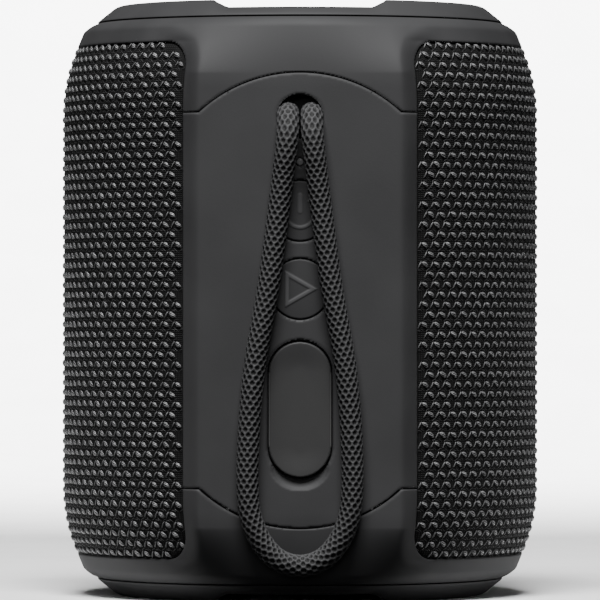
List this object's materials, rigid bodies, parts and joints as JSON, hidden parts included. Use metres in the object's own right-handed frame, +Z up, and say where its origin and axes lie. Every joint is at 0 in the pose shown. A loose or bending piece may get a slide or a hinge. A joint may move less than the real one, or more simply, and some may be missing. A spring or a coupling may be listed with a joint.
{
  "type": "portable shower speaker",
  "caption": "Upright barrel speaker in knitted cloth, with a flat rubber spine that carries a hanging cord loop, keys and a port cover, and a rubber bumper ring at each end.",
  "frame": {"origin": "centre of the speaker's base, at the underside of the bottom bumper", "axes": "+Z up along the barrel, -Y out of the spine with the cord and keys, +Y out of the front with the volume keys"},
  "size_m": [0.0948, 0.0981, 0.1174],
  "materials": {
    "soft_rubber": "matte moulded silicone rubber",
    "collar_plastic": "soft-touch coated plastic",
    "bumper_rubber": "matte moulded rubber",
    "knit_cloth": "coarse black polyester mesh cloth with grey yarn",
    "braided_cord": "braided polyester sleeve",
    "cabinet_plastic": "black moulded plastic",
    "membrane_rubber": "black rubber",
    "plate_metal": "dark anodised, brushed in rings",
    "steel": "plated steel",
    "circuit_board": "green solder mask",
    "cell_wrap": "shrink wrap",
    "paper_cone": "coated paper",
    "clear_plastic": "frosted clear plastic",
    "lead_insulation": "red wire insulation"
  },
  "bodies": {
    "speaker_body": {"cloth_sleeve": "knit_cloth", "grille_shell": "cabinet_plastic", "cabinet_rear": "cabinet_plastic", "cabinet_front": "cabinet_plastic", "cabinet_seal_left": "membrane_rubber", "cabinet_seal_right": "membrane_rubber", "cabinet_screw_1": "steel", "cabinet_screw_2": "steel", "cabinet_screw_3": "steel", "cabinet_screw_4": "steel", "upper_collar": "collar_plastic", "lower_collar": "collar_plastic", "rear_panel": "soft_rubber", "power_switch": "steel", "play_switch": "steel", "status_led": "clear_plastic", "status_light_pipe": "clear_plastic", "port_bay": "cabinet_plastic", "usb_socket": "steel", "aux_socket": "membrane_rubber", "hanging_cord": "braided_cord", "cord_clamp": "steel", "cord_pocket": "cabinet_plastic", "main_board": "circuit_board", "board_screw_1": "steel", "board_screw_2": "steel", "board_screw_3": "steel", "board_screw_4": "steel", "radio_module": "steel", "battery_cell": "cell_wrap", "battery_cradle": "cabinet_plastic", "left_driver_basket": "steel", "left_driver_surround": "membrane_rubber", "left_driver_magnet": "steel", "left_driver_cone": "paper_cone", "right_driver_basket": "steel", "right_driver_surround": "membrane_rubber", "right_driver_magnet": "steel", "right_driver_cone": "paper_cone", "top_radiator_frame": "cabinet_plastic", "top_radiator_surround": "membrane_rubber", "top_radiator_plate": "plate_metal", "top_bumper": "bumper_rubber", "bottom_radiator_frame": "cabinet_plastic", "bottom_radiator_surround": "membrane_rubber", "bottom_radiator_plate": "plate_metal", "bottom_bumper": "bumper_rubber", "volume_bezel": "soft_rubber", "volume_board": "circuit_board", "volume_up_switch": "steel", "volume_down_switch": "steel", "battery_lead": "lead_insulation", "left_driver_lead": "lead_insulation", "right_driver_lead": "lead_insulation"},
    "power_key": {"power_button": "soft_rubber"},
    "play_key": {"play_button": "soft_rubber"},
    "port_flap": {"port_cover": "soft_rubber"},
    "volume_up": {"volume_up_key": "soft_rubber"},
    "volume_down": {"volume_down_key": "soft_rubber"}
  },
  "joints": [
    {"name": "power_press", "type": "slide", "parent": "speaker_body", "child": "power_key", "axis": [0, 1, 0], "range_m": [0, 0.0005], "stiffness_N_per_m": 800},
    {"name": "play_press", "type": "slide", "parent": "speaker_body", "child": "play_key", "axis": [0, 1, 0], "range_m": [0, 0.0005], "stiffness_N_per_m": 800},
    {"name": "port_cover_hinge", "type": "hinge", "parent": "speaker_body", "child": "port_flap", "pos_m": [0, -0.0462, 0.0507], "axis": [-1, 0, 0], "range_deg": [0, 95]},
    {"name": "volume_up_press", "type": "slide", "parent": "speaker_body", "child": "volume_up", "axis": [0, -1, 0], "range_m": [0, 0.0005], "stiffness_N_per_m": 800},
    {"name": "volume_down_press", "type": "slide", "parent": "speaker_body", "child": "volume_down", "axis": [0, -1, 0], "range_m": [0, 0.0005], "stiffness_N_per_m": 800}
  ]
}
